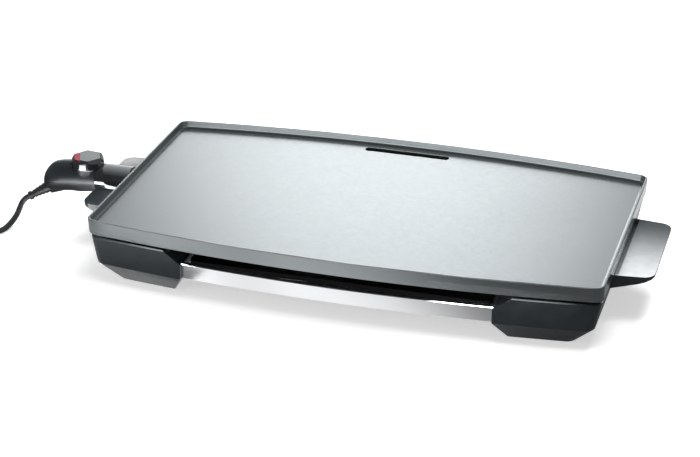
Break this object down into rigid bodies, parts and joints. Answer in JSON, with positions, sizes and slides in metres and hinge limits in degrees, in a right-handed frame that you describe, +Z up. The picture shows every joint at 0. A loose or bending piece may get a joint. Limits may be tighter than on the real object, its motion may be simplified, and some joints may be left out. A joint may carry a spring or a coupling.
{
  "type": "teppanyaki griddle",
  "caption": "Countertop griddle: long bowed cast plate on moulded end frames with handles and steel rails, with a drain slot over a drip tray and a plug-in thermostat with knob and mains cord.",
  "frame": {"origin": "on the resting surface, under the middle of the griddle with its thermostat, cord left out", "axes": "+X along the plate away from the thermostat, +Y towards the rear with the drain slot, +Z up"},
  "size_m": [0.9137, 0.3534, 0.0855],
  "materials": {
    "cast_coating": "die casting with a semi-gloss grey cooking coating",
    "element_steel": "dull steel tube",
    "brass": "plain",
    "ceramic": "unglazed",
    "bright_steel": "bright satin",
    "screw_steel": "plated",
    "black_plastic": "fine satin, moulded",
    "gloss_black": "gloss",
    "rubber": "matt",
    "silicone": "matt",
    "dark_sheet": "black heat-proof paint on sheet steel",
    "satin_grey": "satin metallic",
    "red_lens": "clear red",
    "cord_rubber": "satin"
  },
  "bodies": {
    "base": {"right_end_frame": "black_plastic", "left_end_frame": "black_plastic", "front_rail": "bright_steel", "rear_rail": "bright_steel", "rail_screw_front_left": "screw_steel", "rail_screw_front_right": "screw_steel", "rail_screw_rear_left": "screw_steel", "rail_screw_rear_right": "screw_steel", "foot_pad_front_left": "rubber", "foot_pad_front_right": "rubber", "foot_pad_rear_left": "rubber", "foot_pad_rear_right": "rubber", "plate_rest_front_left": "silicone", "plate_rest_front_right": "silicone", "plate_rest_rear_left": "silicone", "plate_rest_rear_right": "silicone", "heat_shield": "dark_sheet", "shield_screw_front_left": "screw_steel", "shield_screw_front_right": "screw_steel", "shield_screw_rear_left": "screw_steel", "shield_screw_rear_right": "screw_steel", "tray_runner_left": "dark_sheet", "tray_runner_right": "dark_sheet"},
    "plate": {"griddle_plate": "cast_coating", "heating_element": "element_steel", "terminal_pin_front": "brass", "terminal_pin_rear": "brass", "terminal_insulator_front": "ceramic", "terminal_insulator_rear": "ceramic", "probe_sleeve": "brass", "terminal_guard": "bright_steel", "guard_screw_front": "screw_steel", "guard_screw_rear": "screw_steel"},
    "thermostat": {"thermostat_upper_shell": "black_plastic", "thermostat_lower_shell": "black_plastic", "shell_screw_front": "screw_steel", "shell_screw_rear": "screw_steel", "thermostat_collar": "gloss_black", "socket_nose": "ceramic", "contact_sleeve_front": "brass", "contact_sleeve_rear": "brass", "probe_rod": "screw_steel", "switch_block": "ceramic", "cord_relief": "cord_rubber", "cord_lead": "cord_rubber", "cord_coil": "cord_rubber", "cord_tail": "cord_rubber", "plug_body": "rubber", "plug_pin_left": "screw_steel", "plug_pin_right": "screw_steel"},
    "knob": {"control_knob": "gloss_black", "knob_lens": "red_lens", "knob_cap": "satin_grey", "knob_spindle": "screw_steel"},
    "drip_tray": {"drip_tray": "dark_sheet"}
  },
  "joints": [
    {"name": "plate_lift", "type": "slide", "parent": "base", "child": "plate", "axis": [0, 0, 1], "range_m": [0, 0.08]},
    {"name": "thermostat_plug", "type": "slide", "parent": "plate", "child": "thermostat", "axis": [-1, 0, 0], "range_m": [0, 0.06]},
    {"name": "knob_turn", "type": "hinge", "parent": "thermostat", "child": "knob", "pos_m": [-0.3225, 0, 0.08], "axis": [0, 0, -1], "range_deg": [0, 270]},
    {"name": "tray_slide", "type": "slide", "parent": "base", "child": "drip_tray", "axis": [0, 1, 0], "range_m": [0, 0.075]}
  ]
}
